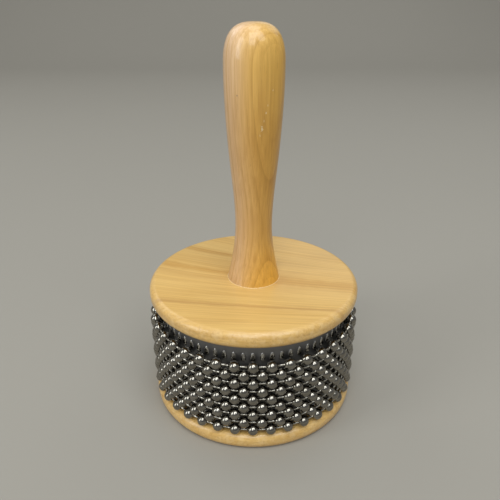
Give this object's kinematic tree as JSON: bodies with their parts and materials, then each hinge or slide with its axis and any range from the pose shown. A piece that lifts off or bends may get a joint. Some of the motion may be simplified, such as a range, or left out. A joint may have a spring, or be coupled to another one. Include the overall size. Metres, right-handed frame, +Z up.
{
  "type": "cabasa",
  "caption": "Hand percussion: turned wooden handle on a round drum whose textured steel sleeve, between two wooden discs, carries loose rows of steel ball chain that turn and rasp.",
  "frame": {"origin": "centre of the underside of the bottom disc, where the drum stands", "axes": "+Z up along the handle's axis, -Y towards the viewer of the picture, +X to the viewer's right"},
  "size_m": [0.1034, 0.1034, 0.1788],
  "materials": {
    "handle_wood": "clear gloss lacquer over light honey-brown hardwood, grain along the handle",
    "disc_wood": "clear gloss lacquer over pale honey hardwood, straight grain across the disc",
    "core_wood": "bare turned wood, hidden inside",
    "sleeve_steel": "dull grey sheet steel embossed all over with small upright ovals",
    "ball_steel": "polished dark nickel plate",
    "link_steel": "bright nickel-plated wire",
    "fastener_steel": "zinc-plated steel"
  },
  "bodies": {
    "drum": {"handle": "handle_wood", "top_disc": "disc_wood", "bottom_disc": "disc_wood", "hub_core": "core_wood", "texture_sleeve": "sleeve_steel", "sleeve_tacks": "fastener_steel", "handle_screw": "fastener_steel", "handle_screw_washer": "fastener_steel", "bottom_disc_screws": "fastener_steel", "top_disc_dowels": "core_wood"},
    "chain_1": {"chain_1_balls": "ball_steel", "chain_1_links": "link_steel"},
    "chain_2": {"chain_2_balls": "ball_steel", "chain_2_links": "link_steel"},
    "chain_3": {"chain_3_balls": "ball_steel", "chain_3_links": "link_steel"},
    "chain_4": {"chain_4_balls": "ball_steel", "chain_4_links": "link_steel"},
    "chain_5": {"chain_5_balls": "ball_steel", "chain_5_links": "link_steel"},
    "chain_6": {"chain_6_balls": "ball_steel", "chain_6_links": "link_steel"},
    "chain_7": {"chain_7_balls": "ball_steel", "chain_7_links": "link_steel"},
    "chain_8": {"chain_8_balls": "ball_steel", "chain_8_links": "link_steel"},
    "chain_9": {"chain_9_balls": "ball_steel", "chain_9_links": "link_steel"}
  },
  "joints": [
    {"name": "chain_1_turn", "type": "hinge", "parent": "drum", "child": "chain_1", "pos_m": [0, 0, 0.0107], "axis": [0, 0, 1], "continuous": true},
    {"name": "chain_2_turn", "type": "hinge", "parent": "drum", "child": "chain_2", "pos_m": [0, 0, 0.0107], "axis": [0, 0, 1], "continuous": true},
    {"name": "chain_3_turn", "type": "hinge", "parent": "drum", "child": "chain_3", "pos_m": [0, 0, 0.0107], "axis": [0, 0, 1], "continuous": true},
    {"name": "chain_4_turn", "type": "hinge", "parent": "drum", "child": "chain_4", "pos_m": [0, 0, 0.0107], "axis": [0, 0, 1], "continuous": true},
    {"name": "chain_5_turn", "type": "hinge", "parent": "drum", "child": "chain_5", "pos_m": [0, 0, 0.0107], "axis": [0, 0, 1], "continuous": true},
    {"name": "chain_6_turn", "type": "hinge", "parent": "drum", "child": "chain_6", "pos_m": [0, 0, 0.0107], "axis": [0, 0, 1], "continuous": true},
    {"name": "chain_7_turn", "type": "hinge", "parent": "drum", "child": "chain_7", "pos_m": [0, 0, 0.0107], "axis": [0, 0, 1], "continuous": true},
    {"name": "chain_8_turn", "type": "hinge", "parent": "drum", "child": "chain_8", "pos_m": [0, 0, 0.0107], "axis": [0, 0, 1], "continuous": true},
    {"name": "chain_9_turn", "type": "hinge", "parent": "drum", "child": "chain_9", "pos_m": [0, 0, 0.0107], "axis": [0, 0, 1], "continuous": true}
  ],
  "couplings": [
    {"joint": "chain_2_turn", "follows": "chain_1_turn", "ratio": 1},
    {"joint": "chain_3_turn", "follows": "chain_1_turn", "ratio": 1},
    {"joint": "chain_4_turn", "follows": "chain_1_turn", "ratio": 1},
    {"joint": "chain_5_turn", "follows": "chain_1_turn", "ratio": 1},
    {"joint": "chain_6_turn", "follows": "chain_1_turn", "ratio": 1},
    {"joint": "chain_7_turn", "follows": "chain_1_turn", "ratio": 1},
    {"joint": "chain_8_turn", "follows": "chain_1_turn", "ratio": 1},
    {"joint": "chain_9_turn", "follows": "chain_1_turn", "ratio": 1}
  ]
}
